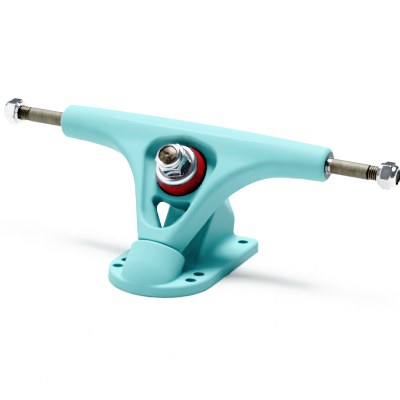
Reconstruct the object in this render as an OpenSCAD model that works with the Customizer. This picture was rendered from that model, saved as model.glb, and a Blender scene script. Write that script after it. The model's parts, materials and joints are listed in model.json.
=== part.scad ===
// Reverse-kingpin longboard truck, standing on the deck face of its baseplate.
// X runs along the axle, -Y is the pivot end, +Z points away from the deck.
// Origin: centre of the outer bolt rectangle, on the deck face.
// The hanger, kingpin and pivot share a second frame, turned about X by pivot_angle:
// there the y axis runs up the pivot axis and the z axis runs up the kingpin.

/* [Geometry] */
// Angle of the pivot axis above the deck
pivot_angle = 50; // [44:0.5:52]
// Height of the pivot axis above the origin, along the kingpin
pivot_height = 31; // [29:0.1:34]
// Place of the kingpin along the pivot axis
kingpin_place = 37.65; // [36:0.05:41]
// Place of the axle along the pivot axis
axle_place = 56; // [55.5:0.1:60]
// Height of the axle above the pivot axis
axle_rake = 1; // [0:0.1:4]

/* [Baseplate] */
// Width of the plate
plate_w = 55.4; // [53:0.1:62]
// Thickness of the plate
plate_t = 6; // [5:0.1:8]
// Distance from the origin to the rounded front edge
plate_front = 50; // [48:0.5:56]
// Distance from the origin to the rear edge
plate_rear = 41; // [39:0.5:46]
// Radius of the plate's rear corners
plate_corner_r = 5; // [3:0.5:9]
// Chamfer along the plate's top edge
plate_edge = 1.2; // [0.5:0.1:2.5]
// Distance between bolt holes across the plate
hole_across = 41.3; // [40:0.1:43]
// Distance between bolt holes along the plate, outer pattern
hole_outer = 63.5; // [62:0.1:65]
// Distance between bolt holes along the plate, inner pattern
hole_inner = 53.98; // [52:0.02:56]
// Diameter of a bolt hole
hole_d = 5.4; // [5:0.1:6]
// Radius of the fillet at the foot of the boss and the block
foot_fillet = 4.5; // [3:0.5:7]
// Ledge between the plate's chamfer and the fillets
foot_ledge = 0.4; // [0.2:0.1:1]

/* [Pivot] */
// Diameter of the pivot boss at its rim
boss_d = 27; // [25:0.5:30]
// Extra radius of the boss at the foot of its taper
boss_flare = 1.2; // [0.4:0.1:2]
// Rounding of the boss's rim
rim_round = 1.2; // [0.5:0.1:2]
// Place of the boss's rim along the pivot axis
rim_place = -4.7; // [-6:0.1:-3]
// Diameter of the hanger's pivot nose
nose_d = 13; // [11:0.1:14]
// Depth of the nose in its cup
nose_depth = 7; // [5:0.1:8]
// Wall of the pivot cup
cup_wall = 2.4; // [1.5:0.1:3]
// Floor of the pivot cup
cup_floor = 2; // [1.5:0.1:2.5]

/* [Kingpin block] */
// Height of the seat under the washer, along the kingpin
seat_height = 10.5; // [8:0.1:12]
// Width of the block at its front
block_w = 25; // [25:0.5:28]
// Extra half width of the block at its rear
block_flare = 1.5; // [0.5:0.1:2]
// Distance from the origin to the block's rear wall
block_rear = 37; // [36:0.5:38]
// Radius of the block's upright corners
block_corner = 3; // [1:0.5:5]
// Distance from the kingpin's axis up to the block's top edge
block_top = 1.5; // [0.5:0.1:4]
// Height of the block's upright rear wall
block_wall_h = 19; // [15:0.5:21]
// Diameter of the machined seat under the washer
seat_d = 24; // [23:0.5:25]
// Rise of the machined seat above the block's face
seat_rise = 0.4; // [0.2:0.1:0.8]

/* [Kingpin] */
// Diameter of the kingpin
kingpin_d = 9.53; // [9:0.01:10]
// Length of the kingpin under its head
kingpin_len = 63.5; // [63:0.1:68]
// Height of the kingpin's tip above the deck origin, along the kingpin
kingpin_tip = 57.5; // [56.5:0.1:60]
// Size across the flats of the kingpin's head and nut
kingpin_af = 14.29; // [14:0.01:16]
// Height of the kingpin's head
head_h = 6; // [4:0.1:7]
// Height of the kingpin nut's hexagon
kingpin_nut_hex = 7.6; // [6:0.1:9]
// Height of the kingpin nut's collar
kingpin_nut_collar = 3.2; // [2.6:0.1:4]

/* [Bushings] */
// Thickness of the hanger's web between the bushings
web_t = 5.5; // [4:0.1:7]
// Largest diameter of the bushings
bushing_d = 26.2; // [24:0.1:26.6]
// Diameter of the road-side bushing under its washer
bushing_top_d = 22; // [20:0.1:24]
// Depth of the road-side bushing's pocket in the hanger
road_pocket = 2.7; // [1.5:0.1:4]
// Height of the road-side washer's top face, along the kingpin
washer_top = 46; // [44.5:0.1:47]
// Outer diameter of the road-side washer
cup_washer_d = 22.8; // [21:0.1:26]
// Depth of the road-side washer's cup
cup_washer_depth = 1.3; // [0.6:0.1:2]
// Thickness of the washers on the kingpin
washer_t = 1.6; // [1.2:0.1:2.2]
// Outer diameter of the board-side washer
flat_washer_d = 23.6; // [20:0.1:24]

/* [Hanger] */
// Width of the hanger
hanger_w = 150; // [140:1:180]
// Diameter of the bar at its ends
end_d = 17.6; // [16:0.1:19]
// Diameter of the bar in the middle
mid_d = 20.6; // [19:0.1:22]
// Rounding of the bar's ends
end_round = 2.4; // [1:0.1:3]
// Front face of the yoke, above the pivot axis
yoke_front = 11; // [10:0.1:11.5]
// Back face of the yoke, below the pivot axis
yoke_back = 8; // [7:0.1:9]
// Width of the yoke at its foot
foot_w = 18.4; // [17:0.1:21]
// Gap between the foot of the yoke and the boss's rim
foot_gap = 0.6; // [0.4:0.1:2]
// Angle of the yoke's edges from the pivot axis
yoke_angle = 22.3; // [20:0.1:24]
// Radius of the fillet between an arm and the yoke
arm_fillet = 44; // [38:0.5:48]
// Depth that the arms' fillets run into the bar
arm_sink = 2; // [1:0.1:3]
// Rounding of the outer edges of the yoke and the arms
edge_round = 4.5; // [2:0.1:6]
// Width of the front recess at its shoulders
recess_w = 41.5; // [38:0.5:43]
// Corner radius of the front recess's shoulders
shoulder_r = 9; // [7:0.5:10]
// Rise of the recess's shoulders above the kingpin
shoulder_rise = 6; // [4:0.5:8]
// Height of the recess's lower round above the foot
recess_low = 16; // [14:0.5:18]
// Width of the rim around the front recess
rim_w = 4; // [3:0.1:5]
// Width of the window through the web
window_w = 19.4; // [15:0.1:20]
// Height of the window
window_h = 17; // [13:0.1:18]
// Rise of the window's corners beside the ring
window_rise = 1.6; // [0:0.1:3]
// Wall between the window and the bushing's pocket
ring_wall = 2.4; // [1.5:0.1:4]
// Corner radius of the window
window_r = 2.6; // [1.5:0.1:3]
// Diameter of the kingpin's hole in the web
ring_d = 16; // [14.5:0.1:19]

/* [Axle] */
// Diameter of the axle's bearing journals
axle_d = 7.94; // [7.9:0.01:8.1]
// Diameter of the core that the hanger grips
core_d = 8.6; // [8.3:0.05:9]
// Diameter of the threaded ends
thread_d = 7.3; // [7.1:0.05:7.6]
// Length of a bearing journal, out from the hanger's end
journal_len = 21.5; // [20:0.1:25]
// Length of a threaded end
thread_len = 14.7; // [13:0.1:18]
// Distance from the start of the thread to an axle nut's inner face
nut_place = 7.5; // [6:0.1:9]
// Size across the flats of an axle nut
axle_nut_af = 12.7; // [12.5:0.05:14]
// Height of an axle nut's hexagon
axle_nut_hex = 5.4; // [5:0.1:7]
// Height of an axle nut's collar
axle_nut_collar = 2.4; // [2.2:0.1:3.2]
// Outer diameter of a speed washer
speed_washer_d = 12; // [11:0.1:14]
// Thickness of a speed washer
speed_washer_t = 0.7; // [0.5:0.05:1.5]
// Chamfer on the axle's and kingpin's ends
tip_chamfer = 0.8; // [0.4:0.1:1.2]

/* [Nuts] */
// Wall of a nut's nylon insert
insert_wall = 1; // [0.6:0.05:1.1]
// Overhang of a nut's rolled lip over its insert
nut_lip = 0.5; // [0.3:0.05:0.6]
// Wall of a nut's collar
collar_wall = 0.7; // [0.5:0.05:0.8]

/* [Clearances] */
// Radial gap around a pin that is pressed or cast in
press_gap = 0.01; // [0.005:0.005:0.03]
// Radial gap around a turning pin and inside a nut
running_gap = 0.06; // [0.02:0.01:0.1]
// Radial gap around a loose pin and around the head in its pocket
loose_gap = 0.2; // [0.1:0.05:0.4]
// Gap between a bushing and what it bears on
bearing_gap = 0.2; // [0.1:0.05:0.4]
// Radial gap between a bushing and its pocket
pocket_gap = 0.5; // [0.3:0.05:0.6]
// Gap between stacked washers and nuts
stack_gap = 0.05; // [0.02:0.01:0.1]

/* [Hidden] */

$fn = 64;
// Facets of the shapes inside a hull
hull_fn = 32;
// Overshoot of a cutting shape past the faces that it cuts
eps = 1;
// A length that passes the whole part
far = 400;

paint = [0.56, 0.86, 0.87];
chrome = [0.86, 0.87, 0.89];
bare_steel = [0.55, 0.50, 0.44];
pin_steel = [0.47, 0.42, 0.34];
urethane = [0.72, 0.05, 0.08];
cup_black = [0.12, 0.12, 0.13];
nylon = [0.20, 0.21, 0.23];

axle_height = pivot_height + axle_rake;
kingpin_r = kingpin_d / 2;
axle_r = axle_d / 2;
thread_r = thread_d / 2;
core_r = core_d / 2;
// Place of the axle nuts' inner faces from the middle
nut_seat = hanger_w / 2 + journal_len + nut_place;
nose_r = nose_d / 2;
foot_place = rim_place + foot_gap;
nose_tip = rim_place - nose_depth;
cup_r = nose_r + running_gap + cup_wall;
cup_end = nose_tip - bearing_gap - cup_floor;
road_floor = pivot_height + web_t / 2;
board_floor = pivot_height - web_t / 2;
recess_floor = road_floor + road_pocket;
front_face = pivot_height + yoke_front;
back_face = pivot_height - yoke_back;
pocket_r = bushing_d / 2 + pocket_gap;
under_head = kingpin_tip - kingpin_len;
// Place where the arms' fillets end, just inside the bar's underside
arm_place = axle_place - end_d / 2 + arm_sink;
front_centre = plate_front - plate_w / 2;
// Height of the block's sloping face, along the kingpin
block_height = seat_height - seat_rise;

// Where the block's sloping face stands at a height above the deck face
function block_front(height) = (height - block_height / cos(pivot_angle)) / tan(pivot_angle);

// Half width of the yoke's edge at a place along the pivot axis
function yoke_half(n) = foot_w / 2 + (n - foot_place) * tan(yoke_angle);

// Place and radius of the round at the lower end of the recesses
low_n = foot_place + recess_low;
low_r = (yoke_half(low_n) - rim_w) * cos(yoke_angle);

// Centre of the fillet between the right arm and the yoke
fillet_n = arm_place - arm_fillet;
fillet_x = foot_w / 2 + (arm_fillet + (fillet_n - foot_place) * sin(yoke_angle)) / cos(yoke_angle);

// Outline of the right half of the yoke, from its foot out to the bar
function right_edge() = concat(
    [[foot_w / 2, foot_place]],
    [for (i = [0.5:15.5])
        let (turn = 180 - yoke_angle - (90 - yoke_angle) * i / 16)
        [fillet_x + arm_fillet * cos(turn), fillet_n + arm_fillet * sin(turn)]],
    [[fillet_x, arm_place], [fillet_x, axle_place]]
);
function mirrored(points) = [for (i = [len(points) - 1:-1:0]) [-points[i][0], points[i][1]]];

// Radius of the bar at a distance from its middle
function bar_r(x) = (mid_d - (mid_d - end_d) * pow(2 * x / hanger_w, 2)) / 2;

// Places children drawn with y along the pivot axis and z along the kingpin
module tilted() {
    rotate([pivot_angle, 0, 0]) children();
}

// Places children drawn along z on the kingpin's axis
module on_kingpin(height) {
    tilted() translate([0, kingpin_place, height]) children();
}

// Places children drawn along z on the pivot axis, at a place along it
module on_pivot(place) {
    tilted() translate([0, place, pivot_height]) rotate([-90, 0, 0]) children();
}

// Places children drawn along z on the axle, outwards from a place on the left or the right
module on_axle(side, place) {
    tilted() translate([side * place, axle_place, axle_height]) rotate([0, side * 90, 0]) children();
}

module plate_outline() {
    translate([0, -front_centre]) circle(d = plate_w);
    translate([-plate_w / 2, -front_centre]) square([plate_w, front_centre + plate_rear - plate_corner_r]);
    translate([-plate_w / 2 + plate_corner_r, 0]) square([plate_w - 2 * plate_corner_r, plate_rear]);
    for (side = [-1, 1])
        translate([side * (plate_w / 2 - plate_corner_r), plate_rear - plate_corner_r])
            circle(r = plate_corner_r);
}

module plate() {
    linear_extrude(plate_t - plate_edge) plate_outline();
    hull() {
        $fn = hull_fn;
        linear_extrude(plate_t - plate_edge) plate_outline();
        linear_extrude(plate_t) offset(delta = -plate_edge) plate_outline();
    }
}

// Slice of the tilted boss where a fillet has a reach and a height
module boss_slice(fillet) {
    $fn = hull_fn;
    margin = fillet[0];
    height = fillet[1];
    place = (height - pivot_height * cos(pivot_angle)) / sin(pivot_angle);
    centre_y = place * cos(pivot_angle) - pivot_height * sin(pivot_angle);
    half_x = boss_d / 2 + boss_flare + margin;
    half_y = (boss_d / 2 + boss_flare) / sin(pivot_angle) + margin;
    translate([0, centre_y, height - plate_edge / 2])
        linear_extrude(plate_edge / 2) scale([1, half_y / half_x]) circle(r = half_x);
}

// Outward reach and height of a concave foot fillet at its ends and middle.
// Its upper chord runs on into the wall, so that it crosses the wall at an angle.
FILLET = [
    [foot_fillet, plate_t],
    [foot_fillet * (1 - sin(45)), plate_t + foot_fillet * (1 - cos(45))],
    [-eps, plate_t + foot_fillet + eps * cos(45) / (1 - sin(45))]
];

module boss() {
    depth = rim_place + pivot_height / tan(90 - pivot_angle) + boss_d;
    on_pivot(rim_place) rotate_extrude() polygon(concat(
        [[0, -depth], [boss_d / 2 + boss_flare, -depth]],
        [for (turn = [0:30:90])
            [boss_d / 2 - rim_round * (1 - cos(turn)), -rim_round * (1 - sin(turn))]],
        [[0, 0]]
    ));
    difference() {
        for (step = [0, 1]) hull() {
            boss_slice(FILLET[step]);
            boss_slice(FILLET[step + 1]);
        }
        // The fillet ends behind the boss, a little below its rim
        on_pivot(rim_place - rim_round / 3) cylinder(r = boss_d, h = far);
    }
}

// Plan of the kingpin block at a height, from its front to its rear wall, grown by a margin
module block_plan(height, margin, corner) {
    offset(r = margin + corner) offset(delta = -corner)
        polygon([
            [-block_w / 2, block_front(height)], [block_w / 2, block_front(height)],
            [block_w / 2 + block_flare, block_rear], [-block_w / 2 - block_flare, block_rear]
        ]);
}

// Slice of the kingpin block's foot where a fillet has a reach and a height.
// Its corners are rounder than the wall's, so that their edges keep clear of each other.
module block_slice(fillet) {
    $fn = hull_fn;
    translate([0, 0, fillet[1] - plate_edge / 2])
        linear_extrude(plate_edge / 2) block_plan(fillet[1], fillet[0], block_corner + plate_edge);
}

module block() {
    edge_place = kingpin_place + block_top;
    edge_y = edge_place * cos(pivot_angle) - block_height * sin(pivot_angle);
    top = edge_place * sin(pivot_angle) + block_height * cos(pivot_angle);
    // Height along the kingpin where the round top has run out through the rear wall
    low = ((kingpin_place - seat_d / 2) * cos(pivot_angle) - block_rear) / sin(pivot_angle) - eps;
    intersection() {
        linear_extrude(far) block_plan(plate_t, 0, block_corner);
        union() {
            rotate([90, 0, 90]) linear_extrude(far, center = true) polygon([
                [block_front(plate_t), plate_t - plate_edge], [block_front(plate_t), plate_t], [edge_y, top],
                [block_rear + eps, block_wall_h], [block_rear + eps, plate_t - plate_edge]
            ]);
            on_kingpin(low) cylinder(d = seat_d, h = seat_height - low);
        }
    }
    for (step = [0, 1]) hull() {
        block_slice(FILLET[step]);
        block_slice(FILLET[step + 1]);
    }
}

module bolt_holes() {
    for (x = [-hole_across / 2, hole_across / 2])
        for (y = [-hole_outer / 2, hole_outer / 2 - hole_inner, hole_outer / 2])
            translate([x, y, -eps]) cylinder(d = hole_d, h = plate_t + 2 * eps + foot_fillet);
}

module baseplate() {
    color(paint) difference() {
        union() {
            plate();
            intersection() {
                linear_extrude(far) offset(delta = -plate_edge - foot_ledge) plate_outline();
                union() {
                    boss();
                    block();
                }
            }
        }
        bolt_holes();
        on_pivot(cup_end) cylinder(r = cup_r + press_gap, h = rim_place - cup_end + eps);
        on_kingpin(under_head - eps)
            cylinder(r = kingpin_r + press_gap, h = seat_height - under_head + 2 * eps);
        on_kingpin(under_head - far) cylinder(d = (kingpin_af + 2 * loose_gap) / cos(30), h = far, $fn = 6);
    }
}

module pivot_cup() {
    color(cup_black) difference() {
        on_pivot(cup_end) cylinder(r = cup_r, h = rim_place - cup_end);
        on_pivot(nose_tip - bearing_gap)
            cylinder(r = nose_r + running_gap, h = nose_depth + bearing_gap + eps);
    }
}

module kingpin() {
    color(pin_steel) {
        on_kingpin(under_head) {
            cylinder(r = kingpin_r, h = kingpin_len - tip_chamfer);
            translate([0, 0, kingpin_len - tip_chamfer])
                cylinder(r1 = kingpin_r, r2 = kingpin_r - tip_chamfer, h = tip_chamfer);
        }
        on_kingpin(under_head - head_h) cylinder(d = kingpin_af / cos(30), h = head_h, $fn = 6);
    }
}

module boardside_washer() {
    color(chrome) on_kingpin(seat_height) difference() {
        cylinder(d = flat_washer_d, h = washer_t);
        translate([0, 0, -eps]) cylinder(r = kingpin_r + loose_gap, h = washer_t + 2 * eps);
    }
}

module boardside_bushing() {
    low = seat_height + washer_t;
    color(urethane) on_kingpin(low) difference() {
        cylinder(d = bushing_d, h = board_floor - bearing_gap - low);
        translate([0, 0, -eps]) cylinder(r = kingpin_r + loose_gap, h = far);
    }
}

module roadside_bushing() {
    low = road_floor + bearing_gap;
    shoulder = washer_top - washer_t - cup_washer_depth - bearing_gap - low;
    neck_r = cup_washer_d / 2 - washer_t - bearing_gap;
    color(urethane) on_kingpin(low) rotate_extrude() polygon([
        [kingpin_r + loose_gap, 0], [bushing_d / 2, 0], [bushing_d / 2, road_pocket],
        [bushing_top_d / 2, shoulder], [neck_r, shoulder],
        [neck_r, shoulder + cup_washer_depth], [kingpin_r + loose_gap, shoulder + cup_washer_depth]
    ]);
}

module roadside_washer() {
    height = washer_t + cup_washer_depth;
    outer = cup_washer_d / 2;
    inner = outer - washer_t;
    color(chrome) on_kingpin(washer_top - height) rotate_extrude() polygon([
        [kingpin_r + loose_gap, cup_washer_depth], [inner, cup_washer_depth], [inner, 0], [outer, 0],
        [outer, height - washer_t / 2], [outer - washer_t / 2, height], [kingpin_r + loose_gap, height]
    ]);
}

// A hexagon nut with a thin collar that holds a nylon ring under its lip
module locknut(af, pin_r, hex_h, collar_h) {
    bore_r = pin_r + running_gap;
    groove_r = bore_r + insert_wall;
    collar_r = groove_r + collar_wall;
    difference() {
        union() {
            intersection() {
                cylinder(d = af / cos(30), h = hex_h, $fn = 6);
                union() {
                    cylinder(r1 = af / 2, r2 = af / 2 + hex_h, h = hex_h / 2);
                    translate([0, 0, hex_h / 2]) cylinder(r1 = af / 2 + hex_h, r2 = af / 2, h = hex_h / 2);
                }
            }
            cylinder(r = collar_r, h = hex_h + collar_h);
        }
        translate([0, 0, -eps]) cylinder(r = bore_r, h = far);
        translate([0, 0, hex_h]) cylinder(r = groove_r, h = collar_h - nut_lip);
    }
}

// The nylon ring of a locknut
module locknut_insert(pin_r, hex_h, collar_h) {
    bore_r = pin_r + running_gap;
    translate([0, 0, hex_h]) difference() {
        cylinder(r = bore_r + insert_wall - press_gap, h = collar_h - nut_lip);
        translate([0, 0, -eps]) cylinder(r = bore_r, h = far);
    }
}

module kingpin_nut() {
    color(chrome) on_kingpin(washer_top + stack_gap)
        locknut(kingpin_af, kingpin_r, kingpin_nut_hex, kingpin_nut_collar);
}

module kingpin_nut_insert() {
    color(nylon) on_kingpin(washer_top + stack_gap)
        locknut_insert(kingpin_r, kingpin_nut_hex, kingpin_nut_collar);
}

module bar() {
    half = hanger_w / 2;
    straight = half - end_round;
    on_axle(1, 0) rotate_extrude() polygon(concat(
        [[0, -half]],
        [for (turn = [0:15:90])
            [bar_r(straight) - end_round * (1 - sin(turn)), -straight - end_round * cos(turn)]],
        [for (i = [-4:4]) [bar_r(straight * i / 5), straight * i / 5]],
        [for (turn = [90:-15:0])
            [bar_r(straight) - end_round * (1 - sin(turn)), straight + end_round * cos(turn)]],
        [[0, half]]
    ));
}

// Section of what an edge's rounding takes away: x goes into the wall, y down from the face.
// Its outer chords run on past the wall and the face, so that they cross both at an angle.
function rounding_section() =
    let (
        near = edge_round * (1 - sin(60)),
        deep = edge_round * (1 - cos(60)),
        run_on = edge_round + eps * (edge_round - deep) / near
    )
    [[-eps, run_on], [-eps, -eps], [run_on, -eps], [deep, near], [near, deep]];

// Rounding along the right edge of the yoke and its arm, below a face at z = 0.
// Drawn from the middle of the arm's fillet, with x towards the end of the straight edge.
module right_rounding() {
    run = (fillet_n + arm_fillet * sin(yoke_angle) - foot_place) / cos(yoke_angle);
    section = [for (p = rounding_section()) [arm_fillet + p[0], -p[1]]];
    translate([fillet_x, fillet_n, 0]) rotate([0, 0, 180 - yoke_angle]) mirror([0, 1, 0]) {
        rotate_extrude(angle = 90 - yoke_angle + eps) polygon(section);
        rotate([90, 0, 0]) linear_extrude(run + edge_round) polygon(section);
    }
}

module yoke() {
    outer = bar_r(fillet_x) - axle_rake;
    crease = (recess_w + rim_w) / 2;
    tilted() translate([0, 0, pivot_height]) difference() {
        intersection() {
            translate([0, 0, -yoke_back]) linear_extrude(yoke_front + yoke_back)
                polygon(concat(right_edge(), mirrored(right_edge())));
            rotate([-90, 0, 0]) linear_extrude(far, center = true) polygon([
                [-fillet_x, yoke_back], [fillet_x, yoke_back], [fillet_x, -outer + eps],
                [crease, -yoke_front], [-crease, -yoke_front], [-fillet_x, -outer + eps]
            ]);
        }
        for (flip = [0, 1]) mirror([flip, 0, 0]) {
            translate([0, 0, yoke_front]) right_rounding();
            translate([0, 0, -yoke_back]) mirror([0, 0, 1]) right_rounding();
        }
    }
}

// Outline of the front recess, drawn in by a margin
module recess_outline(margin) {
    arch_r = recess_w / 2;
    offset(delta = -margin) hull() {
        for (side = [-1, 1])
            translate([side * (recess_w / 2 - shoulder_r), kingpin_place + shoulder_rise])
                circle(r = shoulder_r);
        translate([0, kingpin_place + pocket_r + rim_w - arch_r]) circle(r = arch_r);
        translate([0, low_n]) circle(r = low_r);
    }
}

// The recess narrows by rim_w from the front face down to its floor
module front_recess() {
    $fn = hull_fn;
    slope = rim_w / (front_face - recess_floor);
    hull() {
        tilted() translate([0, 0, front_face + eps]) linear_extrude(eps) recess_outline(-eps * slope);
        tilted() translate([0, 0, recess_floor]) linear_extrude(eps) recess_outline(rim_w);
    }
}

// The window's top edge follows the ring around the bushing's pocket
module window() {
    top_n = kingpin_place - pocket_r - ring_wall + window_rise;
    tilted() translate([0, 0, back_face - eps]) linear_extrude(far) difference() {
        hull() {
            for (side = [-1, 1])
                translate([side * (window_w / 2 - window_r), top_n - window_r]) circle(r = window_r);
            translate([0, top_n - window_h + window_r]) circle(r = window_r);
        }
        translate([0, kingpin_place]) circle(r = pocket_r + ring_wall);
    }
}

// Round opening in the back of the yoke, down to the board-side bushing's seat
module back_recess() {
    on_kingpin(back_face - eps) cylinder(r = pocket_r, h = board_floor - back_face + eps);
}

module hanger() {
    color(paint) difference() {
        union() {
            bar();
            yoke();
            on_pivot(nose_tip) {
                translate([0, 0, tip_chamfer]) cylinder(r = nose_r, h = foot_place - nose_tip);
                cylinder(r1 = nose_r - tip_chamfer, r2 = nose_r, h = tip_chamfer);
            }
        }
        front_recess();
        window();
        on_kingpin(road_floor) cylinder(r = pocket_r, h = road_pocket + eps);
        back_recess();
        on_kingpin(back_face) cylinder(d = ring_d, h = front_face - back_face);
        on_axle(1, -hanger_w) cylinder(r = core_r + press_gap, h = 2 * hanger_w);
    }
}

// A thick core ends flush with the hanger, and each end has a journal and a thread
module axle() {
    half = hanger_w / 2;
    thread_start = half + journal_len;
    tip = thread_start + thread_len;
    color(bare_steel) on_axle(1, 0) rotate_extrude() polygon([
        [0, -tip], [thread_r - tip_chamfer, -tip], [thread_r, tip_chamfer - tip],
        [thread_r, -thread_start], [axle_r, -thread_start], [axle_r, -half], [core_r, -half],
        [core_r, half], [axle_r, half], [axle_r, thread_start], [thread_r, thread_start],
        [thread_r, tip - tip_chamfer], [thread_r - tip_chamfer, tip], [0, tip]
    ]);
}

module axle_nut(side) {
    color(chrome) on_axle(side, nut_seat) locknut(axle_nut_af, thread_r, axle_nut_hex, axle_nut_collar);
}

module axle_nut_insert(side) {
    color(nylon) on_axle(side, nut_seat) locknut_insert(thread_r, axle_nut_hex, axle_nut_collar);
}

// Speed washers are counted inwards from the nut
module speed_washer(side, count) {
    color(chrome) on_axle(side, nut_seat - count * (speed_washer_t + stack_gap)) difference() {
        cylinder(d = speed_washer_d, h = speed_washer_t);
        translate([0, 0, -eps]) cylinder(r = axle_r + running_gap, h = speed_washer_t + 2 * eps);
    }
}

baseplate();
pivot_cup();
kingpin();
boardside_washer();
boardside_bushing();
roadside_bushing();
roadside_washer();
kingpin_nut();
kingpin_nut_insert();
hanger();
axle();
speed_washer(-1, 2);  // speed_washer_left_inner
speed_washer(-1, 1);  // speed_washer_left_outer
axle_nut(-1);  // axle_nut_left
axle_nut_insert(-1);  // axle_nut_insert_left
speed_washer(1, 2);  // speed_washer_right_inner
speed_washer(1, 1);  // speed_washer_right_outer
axle_nut(1);  // axle_nut_right
axle_nut_insert(1);  // axle_nut_insert_right
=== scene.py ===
# %% [markdown]
# # A reverse-kingpin truck for a longboard
# The truck lies on its deck face: a painted baseplate with a raked pivot boss and a kingpin block, and
# a painted hanger that turns on the boss and squeezes two red bushings along the kingpin.
# The frame brings every piece at its place. This lesson gives each one its cast, turned or moulded form
# and its finish, and leaves the frame itself as it is.

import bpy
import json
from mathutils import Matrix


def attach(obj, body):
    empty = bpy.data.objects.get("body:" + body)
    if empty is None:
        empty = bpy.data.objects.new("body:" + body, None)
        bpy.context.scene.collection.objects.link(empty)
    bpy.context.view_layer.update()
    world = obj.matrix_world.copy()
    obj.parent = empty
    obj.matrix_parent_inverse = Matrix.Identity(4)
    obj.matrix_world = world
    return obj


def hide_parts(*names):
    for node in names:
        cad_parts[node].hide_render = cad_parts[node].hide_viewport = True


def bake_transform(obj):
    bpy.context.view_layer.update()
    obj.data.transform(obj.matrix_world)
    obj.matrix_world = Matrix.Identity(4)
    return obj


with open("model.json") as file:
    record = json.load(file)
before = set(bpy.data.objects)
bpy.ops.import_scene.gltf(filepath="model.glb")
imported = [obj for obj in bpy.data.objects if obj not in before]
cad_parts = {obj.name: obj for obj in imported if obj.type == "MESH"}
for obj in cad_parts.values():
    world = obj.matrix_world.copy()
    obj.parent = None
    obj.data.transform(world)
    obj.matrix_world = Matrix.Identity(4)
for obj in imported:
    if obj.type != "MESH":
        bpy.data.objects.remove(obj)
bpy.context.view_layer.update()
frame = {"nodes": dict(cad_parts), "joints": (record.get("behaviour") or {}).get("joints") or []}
print("nodes in the frame:", len(frame["nodes"]))

# %% [markdown]
# Two directions rule the truck. The hanger turns about the pivot axis, and the bushings, washers and nut
# are threaded on the kingpin, square to it. Both come from the joints, and with the axle they make a
# second frame: x across, n along the pivot axis, k along the kingpin. Sizes are in millimetres.

# %% The tilted frame
import json
import math

import bpy
import numpy as np
from mathutils import Matrix, Vector

MM = 0.001
JOINTS = {joint["name"]: joint for joint in frame["joints"]}
ACROSS = np.array([1.0, 0.0, 0.0])
PIVOT_AXIS = np.array(JOINTS["hanger_steer"]["axis"])
KINGPIN_AXIS = np.array(JOINTS["roadside_washer_slide"]["axis"])
UPRIGHT = np.eye(3)
TILTED = np.array([ACROSS, PIVOT_AXIS, KINGPIN_AXIS])


def in_tilted(point_m):
    """A point of the frame, in metres, as millimetres of the tilted frame."""
    return TILTED @ np.array(point_m) / MM


_, _, PIVOT_K = in_tilted(JOINTS["hanger_steer"]["pos_m"])
_, KINGPIN_N, WASHER_TOP = in_tilted(JOINTS["kingpin_nut_spin"]["pos_m"])
NUT_SEAT, AXLE_N, AXLE_K = in_tilted(JOINTS["right_nut_spin"]["pos_m"])
print("pivot k %.2f, kingpin n %.2f, washer top k %.2f" % (PIVOT_K, KINGPIN_N, WASHER_TOP))
print("axle n %.2f k %.2f, nut seat x %.2f" % (AXLE_N, AXLE_K, NUT_SEAT))

# %% [markdown]
# The photograph was taken with a long lens from the front, a little to the right of the truck and a little
# above it, and is rolled by under two degrees. A camera a metre away with such a lens keeps its flat look.

# %% Camera
IMAGE_PX = 400
SENSOR_MM = 36.0
FOCAL_PX = 1937.64
AZIMUTH, ELEVATION, ROLL = (math.radians(angle) for angle in (25.06, 19.18, 1.78))
AIM = Vector((0, 0, 35)) * MM
SLIDE_RIGHT, SLIDE_UP = 8.71 * MM, 0.32 * MM
DISTANCE = 1.0
CLIP_NEAR, CLIP_FAR = 0.05, 50.0

back = Vector((
    math.sin(AZIMUTH) * math.cos(ELEVATION), -math.cos(AZIMUTH) * math.cos(ELEVATION), math.sin(ELEVATION)
))
level_right = Vector((math.cos(AZIMUTH), math.sin(AZIMUTH), 0))
level_up = back.cross(level_right)
right = math.cos(ROLL) * level_right + math.sin(ROLL) * level_up
up = math.cos(ROLL) * level_up - math.sin(ROLL) * level_right

camera = bpy.data.objects.new("camera", bpy.data.cameras.new("camera"))
camera.data.sensor_width = SENSOR_MM
camera.data.lens = FOCAL_PX / IMAGE_PX * SENSOR_MM
camera.data.clip_start, camera.data.clip_end = CLIP_NEAR, CLIP_FAR
camera.matrix_world = Matrix((right, up, back)).transposed().to_4x4()
camera.location = AIM + SLIDE_RIGHT * right + SLIDE_UP * up + DISTANCE * back
scene = bpy.context.scene
scene.collection.objects.link(camera)
scene.camera = camera
print("lens %.1f mm" % camera.data.lens)

# %% [markdown]
# Studio light: a soft lamp almost straight above, a weak one behind, a weak one low on the left, and the
# pale floor, which throws their light back under the arms. Only the upper lamp shows in the metal, because
# chrome looks like chrome when it has something dark to mirror. A product photograph is exposed so high
# that the floor turns white: the tone curve does the same, with a long shoulder that pales the lit paint
# and a short toe that keeps the shadows deep.

# %% Floor and light
scene.view_settings.view_transform = "Standard"

LAMPS = {
    "overhead_lamp": {"strength": 3.4, "width": 25, "from": Vector((-0.06, 0.13, 1.0)), "mirrored": True},
    "rear_lamp": {"strength": 0.70, "width": 60, "from": Vector((0.0, 1.0, 0.9)), "mirrored": False},
    "side_lamp": {"strength": 0.62, "width": 60, "from": Vector((-1.0, -0.12, 0.18)), "mirrored": False},
}
TONE = (
    (0.02, 0.006), (0.035, 0.05), (0.055, 0.155), (0.10, 0.33), (0.16, 0.515), (0.22, 0.65), (0.28, 0.74),
    (0.35, 0.84), (0.43, 0.92), (0.55, 0.965), (0.70, 0.99),
)
ALL_CHANNELS = 3
FLOOR_HALF, FLOOR_DROP = 15.0, 0.05 * MM

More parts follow.
